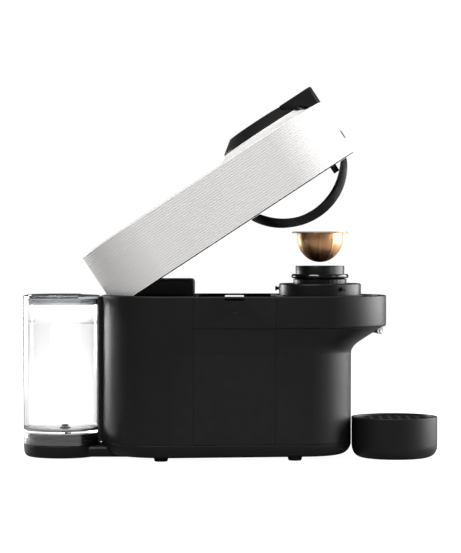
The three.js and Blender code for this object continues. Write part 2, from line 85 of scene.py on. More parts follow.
JOINTS = {joint["name"]: joint for joint in frame["record"]["behaviour"]["joints"]}
HINGE = Vector(JOINTS["head_hinge"]["pos_m"]) / MM
TILT = math.radians(JOINTS["head_hinge"]["range_deg"][1])
FLAP_HINGE_X = JOINTS["flap_hinge"]["pos_m"][0] / MM

AXIS_X = middle_x("holder_rim")
TANK_X = middle_x("tank_wall")
TANK_R = half_length("tank_wall")
TANK_LOW = span("tank_wall")[0][2]
TANK_LIP = span("tank_wall")[1][2]
TANK_TOP = span("tank_lid")[1][2]
VALVE_X = middle_x("water_valve")
CUP_X = middle_x("cup_support")
CUP_R = half_length("cup_support")
CUP_TOP = span("cup_support")[1][2]
HALF = span("front_housing")[1][1]
BODY_TOP = span("front_housing")[1][2]
BASE_SEAM = span("front_housing")[0][2]
BASE_BOTTOM = 4.0
REAR_X = span("rear_housing")[0][0] + HALF
BIN_REAR = span("used_capsule_container")[0][0]
BIN_FRONT = span("used_capsule_container")[1][0]
COLUMN_R = 52.0
COLUMN_X = span("base_plate")[1][0] - COLUMN_R
BAND_BOTTOM = 135.0
FLARE_BOTTOM = 107.8
SEAT_R = half_length("seat_ring")
SEAT_LOW = span("seat_ring")[0][2]
SEAT_TOP = span("seat_ring")[1][2]

# The shut head, before it is swung open about the hinge.
HEAD_BOTTOM = BODY_TOP + 0.6
HEAD_TOP = HEAD_BOTTOM + 62.8
PLINTH_TOP = HEAD_TOP + 6.4
PLINTH_R = 45.0
DOME_TOP = HEAD_TOP + 17.8
SHELL_WALL = 2.5


# ---------------------------------------------------------------- mesh helpers


def filleted(points, steps=6, closed=False):
    """A polyline whose corners with a third number are rounded to that radius."""
    out = []
    count = len(points)
    for i, point in enumerate(points):
        here = Vector(point[:2])
        radius = point[2] if len(point) > 2 else 0
        if not radius or (not closed and i in (0, count - 1)):
            out.append(tuple(here))
            continue
        back = Vector(points[i - 1][:2]) - here
        ahead = Vector(points[(i + 1) % count][:2]) - here
        angle = back.angle(ahead)
        reach = min(radius / math.tan(angle / 2), 0.49 * back.length, 0.49 * ahead.length)
        start = here + back.normalized() * reach
        end = here + ahead.normalized() * reach
        for k in range(steps + 1):
            t = k / steps
            out.append(tuple((1 - t) ** 2 * start + 2 * t * (1 - t) * here + t * t * end))
    return out


def bm_object(name, bm):
    bmesh.ops.remove_doubles(bm, verts=bm.verts, dist=1e-4)
    bmesh.ops.recalc_face_normals(bm, faces=bm.faces)
    mesh = bpy.data.meshes.new(name)
    bm.transform(Matrix.Scale(MM, 4))
    bm.to_mesh(mesh)
    bm.free()
    obj = bpy.data.objects.new(name, mesh)
    scene.collection.objects.link(obj)
    return obj


def turned(name, profile, x, steps=ROUND, closed=False, wave=None):
    """A turned body about the vertical line through (x, 0); wave(angle, r, z) may change a radius."""
    bm = bmesh.new()
    columns = []
    for i in range(steps):
        angle = TURN * i / steps
        column = []
        for r, z in profile:
            radius = wave(angle, r, z) if wave else r
            column.append(bm.verts.new((x + radius * math.cos(angle), radius * math.sin(angle), z)))
        columns.append(column)
    rows = len(profile)
    for i in range(steps):
        left, right = columns[i], columns[(i + 1) % steps]
        for k in range(rows if closed else rows - 1):
            n = (k + 1) % rows
            bm.faces.new([left[k], right[k], right[n], left[n]])
    return bm_object(name, bm)


def disc(name, r, low, high, x):
    return turned(name, [(0, low), (r, low), (r, high), (0, high)], x)


def tube(name, inner, outer, low, high, x):
    return turned(name, [(inner, low), (outer, low), (outer, high), (inner, high)], x, closed=True)


def lofted(name, sections):
    """A body through level outlines: sections is (z, outline) pairs, lowest first."""
    bm = bmesh.new()
    rings = [[bm.verts.new((x, y, z)) for x, y in outline] for z, outline in sections]
    for low, high in zip(rings, rings[1:]):
        for i in range(len(low)):
            j = (i + 1) % len(low)
            bm.faces.new([low[i], low[j], high[j], high[i]])
    bm.faces.new(list(reversed(rings[0])))
    bm.faces.new(rings[-1])
    return bm_object(name, bm)


def slab(name, outline, y0, y1):
    """A slab with a side outline of (x, z) pairs between y0 and y1."""
    bm = bmesh.new()
    near = [bm.verts.new((x, y0, z)) for x, z in outline]
    far = [bm.verts.new((x, y1, z)) for x, z in outline]
    bm.faces.new(near)
    bm.faces.new(list(reversed(far)))
    for i in range(len(near)):
        j = (i + 1) % len(near)
        bm.faces.new([near[j], near[i], far[i], far[j]])
    return bm_object(name, bm)


def block(name, x0, x1, y0, y1, z0, z1):
    return slab(name, [(x0, z0), (x1, z0), (x1, z1), (x0, z1)], y0, y1)


def bar(name, r, start, end, steps=32):
    """A round bar between two points."""
    start, end = Vector(start), Vector(end)
    bm = bmesh.new()
    length = (end - start).length
    bmesh.ops.create_cone(bm, cap_ends=True, segments=steps, radius1=r, radius2=r, depth=length)
    turn = Vector((0, 0, 1)).rotation_difference(end - start).to_matrix().to_4x4()
    bm.transform(Matrix.Translation((start + end) / 2) @ turn)
    return bm_object(name, bm)


def settle(obj):
    """Bakes an object's modifiers into its mesh."""
    graph = bpy.context.evaluated_depsgraph_get()
    mesh = bpy.data.meshes.new_from_object(obj.evaluated_get(graph))
    obj.modifiers.clear()
    obj.data = mesh
    return obj


def combine(obj, others, operation):
    for other in others:
        step = obj.modifiers.new(operation, "BOOLEAN")
        step.operation = operation
        step.solver = "EXACT"
        step.object = other
        settle(obj)
        bpy.data.objects.remove(other)
    return obj


def carve(obj, *cutters):
    return combine(obj, cutters, "DIFFERENCE")


def weld(obj, *others):
    return combine(obj, others, "UNION")


def keep(obj, *others):
    return combine(obj, others, "INTERSECT")


def soften(obj, width, segments=3, angle=30):
    """Rounds the edges that are sharper than the angle."""
    bevel = obj.modifiers.new("soften", "BEVEL")
    bevel.width = width * MM
    bevel.segments = segments
    bevel.limit_method = "ANGLE"
    bevel.angle_limit = math.radians(angle)
    bevel.harden_normals = False
    return settle(obj)


def finish(obj, material, body, slot, *nodes, sharp=32):
    """Smooths a piece, gives it its material, and says what it rides on and stands for."""
    obj.data.materials.clear()
    obj.data.materials.append(material)
    obj.data.shade_smooth()
    obj.data.set_sharp_from_angle(angle=math.radians(sharp))
    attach(obj, body)
    if nodes:
        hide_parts(*nodes)
    return obj


def swing(obj):
    """Swings a piece made for the shut head open about the hinge."""
    about = Matrix.Translation(HINGE * MM)
    turn = Matrix.Rotation(-TILT, 4, "Y")
    obj.data.transform(about @ turn @ about.inverted())
    return obj


def turn_round_axis(obj, degrees):
    """Moves a piece made about the origin to the pod's axis, turned by an angle."""
    turn = Matrix.Rotation(math.radians(degrees), 4, "Z")
    obj.data.transform(Matrix.Translation(Vector((AXIS_X, 0, 0)) * MM) @ turn)
    return obj


# ---------------------------------------------------------------- shader groups and materials


def new_group(name, inputs, outputs):
    """A shader group with float inputs {name: default} and outputs {name: socket type}."""
    group = bpy.data.node_groups.new(name, "ShaderNodeTree")
    for label, default in inputs.items():
        socket = group.interface.new_socket(label, in_out="INPUT", socket_type="NodeSocketFloat")
        socket.default_value = default
    for label, kind in outputs.items():
        group.interface.new_socket(label, in_out="OUTPUT", socket_type=kind)
    return group, group.nodes.new("NodeGroupInput"), group.nodes.new("NodeGroupOutput")


def maths(tree, operation, a, b=None):
    node = tree.nodes.new("ShaderNodeMath")
    node.operation = operation
    for socket, value in zip(node.inputs, (a, b)):
        if value is None:
            continue
        if isinstance(value, (int, float)):
            socket.default_value = value
        else:
            tree.links.new(value, socket)
    return node.outputs[0]


def noise(tree, scale, detail=4.0, roughness=0.6, stretch=(1, 1, 1)):
    """Noise in object space, in cycles per metre; stretch scales the axes."""
    place = tree.nodes.new("ShaderNodeTexCoord")
    mapping = tree.nodes.new("ShaderNodeMapping")
    mapping.inputs["Scale"].default_value = stretch
    tree.links.new(place.outputs["Object"], mapping.inputs["Vector"])
    node = tree.nodes.new("ShaderNodeTexNoise")
    node.inputs["Detail"].default_value = detail
    node.inputs["Roughness"].default_value = roughness
    tree.links.new(mapping.outputs[0], node.inputs["Vector"])
    if isinstance(scale, (int, float)):
        node.inputs["Scale"].default_value = scale
    else:
        tree.links.new(scale, node.inputs["Scale"])
    return node.outputs["Fac"]


def make_grain():
    """Fine moulded grain with slow unevenness of the gloss."""
    group, given, out = new_group(
        "moulded_grain",
        {"Grain Scale": 2600.0, "Cloud Scale": 26.0, "Gloss Low": 0.4, "Gloss High": 0.5},
        {"Height": "NodeSocketFloat", "Roughness": "NodeSocketFloat", "Cloud": "NodeSocketFloat"},
    )
    grain = noise(group, given.outputs["Grain Scale"], 3.0, 0.7)
    cloud = noise(group, given.outputs["Cloud Scale"], 5.0, 0.55)
    spread = maths(group, "SUBTRACT", given.outputs["Gloss High"], given.outputs["Gloss Low"])
    fine, slow = maths(group, "MULTIPLY", grain, 0.5), maths(group, "MULTIPLY", cloud, 0.5)
    mixed = maths(group, "ADD", fine, slow)
    gloss = maths(group, "ADD", given.outputs["Gloss Low"], maths(group, "MULTIPLY", mixed, spread))
    group.links.new(grain, out.inputs["Height"])
    group.links.new(gloss, out.inputs["Roughness"])
    group.links.new(cloud, out.inputs["Cloud"])
    return group


def make_wear():
    """How much an outward edge is rubbed, from 0 to 1."""
    group, given, out = new_group(
        "edge_wear", {"Start": 0.52, "End": 0.6, "Patch Scale": 90.0}, {"Mask": "NodeSocketFloat"}
    )
    geometry = group.nodes.new("ShaderNodeNewGeometry")
    ramp = group.nodes.new("ShaderNodeMapRange")
    group.links.new(geometry.outputs["Pointiness"], ramp.inputs["Value"])
    group.links.new(given.outputs["Start"], ramp.inputs["From Min"])
    group.links.new(given.outputs["End"], ramp.inputs["From Max"])
    patch = noise(group, given.outputs["Patch Scale"], 3.0)
    group.links.new(maths(group, "MULTIPLY", ramp.outputs[0], patch), out.inputs["Mask"])
    return group


def make_dust():
    """A thin settled dust on faces that look up, from 0 to 1."""
    group, given, out = new_group(
        "settled_dust", {"Amount": 0.3, "Speck Scale": 420.0}, {"Mask": "NodeSocketFloat"}
    )
    geometry = group.nodes.new("ShaderNodeNewGeometry")
    split = group.nodes.new("ShaderNodeSeparateXYZ")
    group.links.new(geometry.outputs["Normal"], split.inputs[0])
    up = maths(group, "MAXIMUM", split.outputs["Z"], 0.0)
    up = maths(group, "POWER", up, 3.0)
    speck = noise(group, given.outputs["Speck Scale"], 6.0, 0.8)
    mask = maths(group, "MULTIPLY", maths(group, "MULTIPLY", up, speck), given.outputs["Amount"])
    group.links.new(mask, out.inputs["Mask"])
    return group


GRAIN = make_grain()
WEAR = make_wear()
DUST = make_dust()


def place_group(tree, group, **values):
    node = tree.nodes.new("ShaderNodeGroup")
    node.node_tree = group
    for label, value in values.items():
        node.inputs[label.replace("_", " ")].default_value = value
    return node


def blank(name):
    material = bpy.data.materials.new(name)
    material.use_nodes = True
    tree = material.node_tree
    return material, tree, tree.nodes["Principled BSDF"]


def mix_colours(tree, mask, a, b):
    """Colour a where the mask is 0 and b where it is 1; each is a tuple or a socket."""
    mix = tree.nodes.new("ShaderNodeMix")
    mix.data_type = "RGBA"
    tree.links.new(mask, mix.inputs[0])
    for socket, value in ((mix.inputs[6], a), (mix.inputs[7], b)):
        if isinstance(value, tuple):
            socket.default_value = (*value, 1)
        else:
            tree.links.new(value, socket)
    return mix.outputs[2]


def bump(tree, shader, height, distance, strength=1.0):
    node = tree.nodes.new("ShaderNodeBump")
    node.inputs["Distance"].default_value = distance
    node.inputs["Strength"].default_value = strength
    tree.links.new(height, node.inputs["Height"])
    tree.links.new(node.outputs[0], shader.inputs["Normal"])


DUST_GREY = (0.3, 0.29, 0.28)
PLASTIC_IOR = 1.49
CLEAR_SHINE = 0.15


def moulded(name, colour, low, high, grain=2600.0, depth=0.00002, dusty=0.12, shade=0.82, shine=0.3):
    """Moulded plastic: clouded colour, rubbed edges, a little dust on top, uneven gloss and fine grain."""
    material, tree, shader = blank(name)
    surface = place_group(tree, GRAIN, Grain_Scale=grain, Gloss_Low=low, Gloss_High=high)
    wear = place_group(tree, WEAR)
    dust = place_group(tree, DUST, Amount=dusty)
    shader.inputs["Specular IOR Level"].default_value = shine
    darker = tuple(c * shade for c in colour)
    base = mix_colours(tree, surface.outputs["Cloud"], darker, colour)
    rubbed = tuple(min(1.0, c * 1.5 + 0.004) for c in colour)
    base = mix_colours(tree, wear.outputs["Mask"], base, rubbed)
    base = mix_colours(tree, dust.outputs["Mask"], base, DUST_GREY)
    tree.links.new(base, shader.inputs["Base Color"])
    tree.links.new(surface.outputs["Roughness"], shader.inputs["Roughness"])
    bump(tree, shader, surface.outputs["Height"], depth)
    return material


def clear_plastic(name, face, edge, low, high, power):
    """Clear plastic with painted shade: it darkens where it is seen edge on."""
    material, tree, shader = blank(name)
    surface = place_group(tree, GRAIN, Grain_Scale=300.0, Gloss_Low=low, Gloss_High=high)
    layer = tree.nodes.new("ShaderNodeLayerWeight")
    layer.inputs["Blend"].default_value = 0.5
    # painted shade: the edge colour is mixed in where the surface is seen edge on
    mask = maths(tree, "POWER", layer.outputs["Facing"], power)
    tree.links.new(mix_colours(tree, mask, face, edge), shader.inputs["Base Color"])
    tree.links.new(surface.outputs["Roughness"], shader.inputs["Roughness"])
    shader.inputs["Transmission Weight"].default_value = 1.0
    shader.inputs["Specular IOR Level"].default_value = CLEAR_SHINE
    shader.inputs["IOR"].default_value = PLASTIC_IOR
    bump(tree, shader, surface.outputs["Cloud"], 0.00002, 0.4)
    return material


def metal(name, colour, low, high, stretch=(1, 1, 40), lines=700.0, depth=0.00001):
    """Metal with drawn lines along its faces."""
    material, tree, shader = blank(name)
    surface = place_group(tree, GRAIN, Gloss_Low=low, Gloss_High=high)
    wear = place_group(tree, WEAR)
    shader.inputs["Metallic"].default_value = 1.0
    darker = tuple(c * 0.86 for c in colour)
    base = mix_colours(tree, surface.outputs["Cloud"], darker, colour)
    base = mix_colours(tree, wear.outputs["Mask"], base, tuple(min(1.0, c * 1.3) for c in colour))
    tree.links.new(base, shader.inputs["Base Color"])
    tree.links.new(surface.outputs["Roughness"], shader.inputs["Roughness"])
    bump(tree, shader, noise(tree, lines, 2.0, 0.5, stretch), depth)
    return material


MATTE = moulded("matte_black", (0.0066, 0.0064, 0.0064), 0.4, 0.48, dusty=0.03)
INNER = moulded("inner_black", (0.009, 0.009, 0.009), 0.42, 0.55, dusty=0.2)
GLOSS = moulded(
    "gloss_black", (0.006, 0.006, 0.006), 0.12, 0.2, grain=1400.0, depth=0.000004, dusty=0.02, shine=0.5
)
SATIN = moulded("satin_black", (0.006, 0.006, 0.006), 0.32, 0.42, grain=2200.0, depth=0.00001, dusty=0.04)
WHITE = moulded("warm_white", (0.84, 0.825, 0.81), 0.38, 0.5, depth=0.00001, dusty=0.03, shade=0.97)
# The second colour of each clear plastic is painted shade where it is seen edge on.
CLEAR = clear_plastic("clear_tank", (0.995, 0.996, 0.996), (0.012, 0.012, 0.013), 0.02, 0.05, 2.2)
SMOKED = clear_plastic("smoked_lid", (0.44, 0.45, 0.465), (0.05, 0.052, 0.055), 0.05, 0.1, 1.2)
PALE = clear_plastic("pale_tip", (0.42, 0.42, 0.41), (0.25, 0.25, 0.24), 0.12, 0.2, 1.5)
COPPER = metal("pod_copper", (0.84, 0.47, 0.235), 0.34, 0.42, stretch=(1, 1, 0.2), lines=900.0)
FOIL = metal("pod_foil_silver", (0.5, 0.45, 0.4), 0.3, 0.42, stretch=(1, 1, 1), lines=240.0, depth=0.00004)
STEEL = metal("steel", (0.55, 0.55, 0.56), 0.22, 0.34)
RUBBER = moulded("rubber", (0.02, 0.02, 0.02), 0.7, 0.85, grain=900.0, depth=0.00003, dusty=0.3)
RED = moulded("valve_red", (0.15, 0.022, 0.026), 0.35, 0.5, dusty=0.05)
BOARD = moulded("board_green", (0.02, 0.12, 0.05), 0.3, 0.45, dusty=0.1)


# ---------------------------------------------------------------- outlines shared by the body and the head


def egg_plan(rear_x, rear_r, front_x, front_r, steps=44):
    """The plan outline round a rear circle and a front circle, joined by their tangents."""
    tangent = math.acos((rear_r - front_r) / (front_x - rear_x))
    front = [-tangent + 2 * tangent * i / steps for i in range(steps + 1)]
    rear = [tangent + (TURN - 2 * tangent) * i / steps for i in range(steps + 1)]
    points = [(front_x + front_r * math.cos(a), front_r * math.sin(a)) for a in front]
    return points + [(rear_x + rear_r * math.cos(a), rear_r * math.sin(a)) for a in rear]


def band_plan(inset):
    return egg_plan(REAR_X, HALF - inset, AXIS_X, HALF - inset)


def body_plan(inset, flare):
    """The lower body's plan: flare 0 is the column, 1 is just under the band."""
    front_x = COLUMN_X + (AXIS_X - COLUMN_X) * flare
    front_r = COLUMN_R + (HALF - 4 - COLUMN_R) * flare
    return egg_plan(REAR_X, HALF - inset, front_x, front_r - inset)


FLARE_BEND = 13.0
FLARE_SLOPE = 0.0493


def flare_at(z):
    rise = z - FLARE_BOTTOM
    if rise < FLARE_BEND:
        return FLARE_SLOPE * rise * rise / (2 * FLARE_BEND)
    return min(1.0, FLARE_SLOPE * (rise - FLARE_BEND / 2))


def quarter(radius, steps=6):
    """(inset, height) pairs round an edge radius, from the level face up to the upright one."""
    return [
        (radius * (1 - math.sin(TURN / 4 * i / steps)), radius * (1 - math.cos(TURN / 4 * i / steps)))
        for i in range(steps + 1)
    ]


LIP = 2.5
TOP_EDGE = 1.2


def body_volume(name, inset, low, high):
    steps = 14
    rise = BAND_BOTTOM - 0.3 - FLARE_BOTTOM
    flares = [FLARE_BOTTOM + rise * i / steps for i in range(steps + 1)]
    sections = [(low, body_plan(inset, 0))]
    sections += [(z, body_plan(inset, flare_at(z))) for z in flares]
    rear_r = HALF - inset
    sections += [
        (BAND_BOTTOM + up, egg_plan(REAR_X, rear_r, AXIS_X, rear_r - back)) for back, up in quarter(LIP)
    ]
    sections += [(high - down, band_plan(inset + back)) for back, down in reversed(quarter(TOP_EDGE))]
    return lofted(name, sections)


# ---------------------------------------------------------------- base

WALL = 3.0
SEAM = 0.25
CLEARANCE = 0.3
REACH = 90.0
OVERHEAD = 200.0
REAR_END = -150.0
FRONT_END = 180.0
PIN_R = 3.5
MOTOR_WELL_R = 31.0
TRENCH_IN = 45.4
TRENCH_OUT = 62.6
TRENCH_FOOT_R = 60.1
TRENCH_ARC_R = 68.3
HOOP_ARC_Z = HEAD_BOTTOM + 30.4


def outer_volume():
    return body_volume("outer", 0, BASE_SEAM, BODY_TOP)


def inner_volume(low, high):
    return body_volume("inner", WALL, low, high)


def trench():
    """The round groove that the hoop drops into when the head is shut."""
    low, step, high = 120, BAND_BOTTOM + 2, BODY_TOP + 3
    profile = [
        (TRENCH_IN, low), (TRENCH_FOOT_R, low), (TRENCH_FOOT_R, step),
        (TRENCH_OUT, step), (TRENCH_OUT, high), (TRENCH_IN, high),
    ]
    ring = turned("trench", profile, AXIS_X, closed=True)
    roll = bar("roll", TRENCH_ARC_R, (AXIS_X, -REACH, HOOP_ARC_Z), (AXIS_X, REACH, HOOP_ARC_Z), 128)
    return keep(ring, roll)


def root_pocket():
    return block("pocket", AXIS_X - 70, AXIS_X - TRENCH_IN, -15, 15, BODY_TOP - 14, BODY_TOP + 2)


def slice_of(volume, x0, x1):
    """The part of a volume between two cross planes."""
    return keep(volume, block("slice", x0, x1, -REACH, REACH, 0, OVERHEAD))


def rear_housing():
    edge = BIN_REAR - SEAM
    hollow = slice_of(inner_volume(BASE_SEAM - 2, BODY_TOP - WALL), REAR_END, edge - WALL)
    shell = carve(slice_of(outer_volume(), REAR_END, edge), hollow)
    rail_x, rail_r, web_half = TANK_X + TANK_R + 0.6, 2.6, 1.5
    for y in (-15, 15):
        rail = bar("rail", rail_r, (rail_x, y, BASE_SEAM), (rail_x, y, BODY_TOP - 1.5), 48)
        web = block("web", rail_x, rail_x + 4, y - web_half, y + web_half, BASE_SEAM + 0.5, BODY_TOP - 2)
        weld(shell, rail, web)
    shell.name = "rear_housing_shell"
    finish(shell, MATTE, "base", "black_plastic", "rear_housing")


def front_housing():
    core = disc("core", TRENCH_OUT + WALL, 127, BODY_TOP - 1, AXIS_X)
    edge = BIN_FRONT + SEAM
    hollow = slice_of(carve(inner_volume(BASE_SEAM - 2, BODY_TOP - WALL), core), edge + WALL, FRONT_END)
    shell = carve(slice_of(outer_volume(), edge, FRONT_END), hollow)
    well = disc("well", MOTOR_WELL_R, 100, 180, AXIS_X)
    low, high = span("spout")
    notch = block("notch", low[0] - 3, low[0] + 15, low[1] - 1, high[1] + 1, low[2] - 8, BAND_BOTTOM)
    carve(shell, well, notch, trench(), root_pocket())
    shell.name = "front_housing_shell"
    finish(shell, MATTE, "base", "black_plastic", "front_housing")


def thumb_groove(side):
    """A shallow smile-shaped groove under the finger slot."""
    centre_x, top_z, sweep, radius = 3.2, 160.2, 0.72, 8.6
    depth, half_width = 1.1, 0.8
    bm = bmesh.new()
    steps, around = 18, 8
    round_steps = [TURN * k / around for k in range(around)]
    rings = []
    for i in range(steps + 1):
        a = -TURN / 4 - sweep + 2 * sweep * i / steps
        taper = math.sin(math.pi * (i + 0.35) / (steps + 0.7))
        path = Vector((centre_x + radius * math.cos(a), side * HALF, top_z + radius * math.sin(a)))
        out = Vector((math.cos(a), 0, math.sin(a)))
        ring = []
        for t in round_steps:
            aside = Vector((0, half_width * taper * math.sin(t), 0))
            ring.append(bm.verts.new(path + out * depth * taper * math.cos(t) + aside))
        rings.append(ring)
    for low, high in zip(rings, rings[1:]):
        for k in range(around):
            n = (k + 1) % around
            bm.faces.new([low[k], low[n], high[n], high[k]])
    bm.faces.new(rings[0])
    bm.faces.new(rings[-1])
    return bm_object("groove", bm)


def used_capsule_container():
    low = span("used_capsule_container")[0][2]
    shell = keep(outer_volume(), block("slice", BIN_REAR, BIN_FRONT, -REACH, REACH, low, BODY_TOP + 1))
    hollow = keep(
        inner_volume(low + 6, BODY_TOP + 6),
        block("slice", BIN_REAR + WALL, BIN_FRONT - WALL, -REACH, REACH, low + 6, BODY_TOP + 9),
    )
    slot = slab(
        "slot",
        filleted([(-5.9, 162.9, 1), (14.2, 162.9, 1), (14.2, 165.1, 1), (-5.9, 165.1, 1)], closed=True),
        -REACH,
        REACH,
    )
    carve(shell, hollow, slot, trench(), root_pocket(), thumb_groove(-1), thumb_groove(1))
    shell.name = "used_capsule_bin"
    finish(shell, MATTE, "container", "black_plastic", "used_capsule_container")


def base_plate():
    edge = 12.5
    sections = [(BASE_BOTTOM + rise, body_plan(back, 0)) for back, rise in quarter(edge, 10)]
    sections += [(BASE_SEAM - 0.9, body_plan(0, 0)), (BASE_SEAM - 0.3, body_plan(0.5, 0))]
    plate = lofted("base_pan", sections)
    bowl_top = 14.0
    bowl = turned(
        "bowl",
        filleted(
            [
                (0, 1.5), (TANK_R - 1.2, 1.5, 13), (TANK_R, bowl_top - 0.5),
                (TANK_R - 0.5, bowl_top), (0, bowl_top),
            ],
            12,
        ),
        TANK_X,
    )
    neck = soften(block("neck", TANK_X + 18, REAR_X - 34, -27, 27, 2.4, 13.6), 4, 5)
    weld(plate, bowl, neck)
    finish(plate, MATTE, "base", "black_plastic", "base_plate")


def feet():
    for node in [name for name in frame["nodes"] if name.startswith("foot_")]:
        low, high = span(node)
        r = half_length(node)
        profile = filleted([(0, 0), (r - 1, 0, 0.8), (r, high[2]), (0, high[2])], 4)
        foot = turned(node + "_pad", profile, 0, 48)
        place = Vector(((low[0] + high[0]) / 2, (low[1] + high[1]) / 2, 0)) * MM
        foot.data.transform(Matrix.Translation(place))
        finish(foot, RUBBER, "base", "rubber", node)


def hinge_hump():
    low, high = span("hinge_hump")
    half = high[1]
    rear, top = -104, 183.6
    lug_r = high[2] - HINGE.z
    side = filleted([(rear, low[2]), (high[0], low[2]), (high[0], top, 4), (rear, top)], 8)
    hump = soften(slab("hinge_cover", side, -half, half), 1.2, 4)
    panel = filleted(
        [(rear + 6, low[2] + 2), (high[0] - 2, low[2] + 2), (high[0] - 2, top - 2, 3), (rear + 6, top - 2)], 8
    )
    carve(hump, slab("left", panel, -half - 1, -half + 0.8), slab("right", panel, half - 0.8, half + 1))
    weld(hump, bar("lugs", lug_r, (HINGE.x, -half, HINGE.z), (HINGE.x, half, HINGE.z), 64))
    spring_end = span("lift_spring_left")[0][1]
    carve(
        hump,
        block("gap", -120, -88, spring_end - 2, -spring_end + 2, BODY_TOP + 6, OVERHEAD),
        bar("pin_hole", PIN_R + CLEARANCE, (HINGE.x, -REACH, HINGE.z), (HINGE.x, REACH, HINGE.z), 48),
    )
    finish(hump, MATTE, "base", "black_plastic", "hinge_hump")
    pin_low, pin_high = span("hinge_pin")
    pin = bar("pivot_pin", PIN_R, (HINGE.x, pin_low[1], HINGE.z), (HINGE.x, pin_high[1], HINGE.z), 48)
    finish(soften(pin, 0.6), STEEL, "base", "steel", "hinge_pin")
    for node in ("lift_spring_left", "lift_spring_right"):
        lift_spring(node)


def lift_spring(node):
    """A torsion spring wound round the hinge pin inside the sleeve that stands for it."""
    low, high = span(node)
    wire, turns, per_turn = 1.5, 6, 24
    coil_r = half_length(node) - wire
    curve = bpy.data.curves.new(node, "CURVE")
    curve.dimensions = "3D"
    curve.bevel_depth = wire * MM
    curve.bevel_resolution = 3
    spline = curve.splines.new("POLY")
    count = turns * per_turn
    spline.points.add(count)
    for i in range(count + 1):
        a = TURN * i / per_turn
        y = low[1] + wire + (high[1] - low[1] - 2 * wire) * i / count
        place = Vector((HINGE.x + coil_r * math.cos(a), y, HINGE.z + coil_r * math.sin(a))) * MM
        spline.points[i].co = (*place, 1)
    obj = bpy.data.objects.new(node + "_coil", curve)
    scene.collection.objects.link(obj)
    finish(settle_curve(obj), STEEL, "base", "steel", node)


def settle_curve(obj):
    """A mesh object made from a curve, which is removed."""
    graph = bpy.context.evaluated_depsgraph_get()
    mesh = bpy.data.meshes.new_from_object(obj.evaluated_get(graph))
    made = bpy.data.objects.new(obj.name + "_wire", mesh)
    scene.collection.objects.link(made)
    bpy.data.objects.remove(obj)
    return made


def seat():
    inner = MOTOR_WELL_R - 1
    profile = filleted(
        [
            (inner, SEAT_LOW), (SEAT_R, SEAT_LOW), (SEAT_R, SEAT_TOP, 1.8),
            (inner + 2, SEAT_TOP), (inner, SEAT_TOP - 1),
        ],
        5,
        closed=True,
    )
    ring = turned("pod_seat", profile, AXIS_X, closed=True)
    finish(ring, SATIN, "base", "black_plastic", "seat_ring")
    for node, degrees in (("lock_pin_rear", 180), ("lock_pin_left", -60), ("lock_pin_right", 60)):
        low, high = span(node)
        z = (low[2] + high[2]) / 2
        way = Vector((math.cos(math.radians(degrees)), math.sin(math.radians(degrees)), 0))
        centre = Vector((AXIS_X, 0, z))
        foot, neck, tip = (centre + way * (SEAT_R + out) for out in (0.1, 2.3, 3.9))
        pin = weld(bar(node + "_stud", 1.6, foot, neck, 32), bar("head", 2.3, neck, tip, 32))
        finish(soften(pin, 0.25), SATIN, "base", "black_plastic", node)


def spouts():
    low, high = span("spout")
    side = filleted(
        [(low[0], low[2] + 1, 1), (high[0], low[2], 1), (high[0], high[2]), (low[0], high[2])], 4, closed=True
    )
    finish(soften(slab("coffee_spout", side, low[1], high[1]), 0.6), GLOSS, "base", "gloss_black", "spout")
    low, high = span("spout_tip")
    side = filleted(
        [
            (low[0], low[2], 1), (high[0] - 1, low[2], 1.5), (high[0], low[2] + 4),
            (high[0], high[2]), (low[0], high[2]),
        ],
        4,
    )
    tip = slab("coffee_spout_tip", side, low[1], high[1])
    bore = bar("bore", 1.8, (low[0] + 2.4, 0, low[2] - 1), (low[0] + 2.4, 0, low[2] + 4), 24)
    finish(soften(carve(tip, bore), 0.6), PALE, "base", "pale_tip", "spout_tip")


# ---------------------------------------------------------------- spinning pod holder, pod


def pod_holder():
    low, high = span("capsule_holder")
    top, floor = high[2], low[2]
    profile = filleted(
        [
            (0, floor), (16, floor, 2), (22.5, floor + 11), (27.3, floor + 18, 1),
            (27.3, floor + 23.4, 0.8), (24.9, floor + 24.2), (25.1, top - 0.6), (24.8, top),
            (24.3, top - 0.1), (23.9, floor + 22), (19, floor + 11), (13, floor + 3), (0, floor + 3),
        ],
        4,
    )
    flutes, depth = 36, 0.18

    def knurl(angle, r, z):
        upright = floor + 18.5 < z < floor + 23 and r > 26
        return r + depth * math.cos(flutes * angle) if upright else r

    cup = turned("pod_cup", profile, AXIS_X, 216, wave=knurl)
    finish(cup, SATIN, "holder", "black_plastic", "capsule_holder")
    low, high = span("holder_rim")
    inner_r, outer_r = 25.4, half_length("holder_rim")
    profile = filleted(
        [
            (inner_r, low[2], 0.4), (outer_r - 0.6, low[2], 1), (outer_r, (low[2] + high[2]) / 2, 1.2),
            (outer_r - 0.8, high[2], 1), (inner_r, high[2], 0.6),
        ],
        5,
        closed=True,
    )
    rim = turned("pod_cup_ring", profile, AXIS_X, closed=True)
    finish(rim, GLOSS, "holder", "gloss_black", "holder_rim")


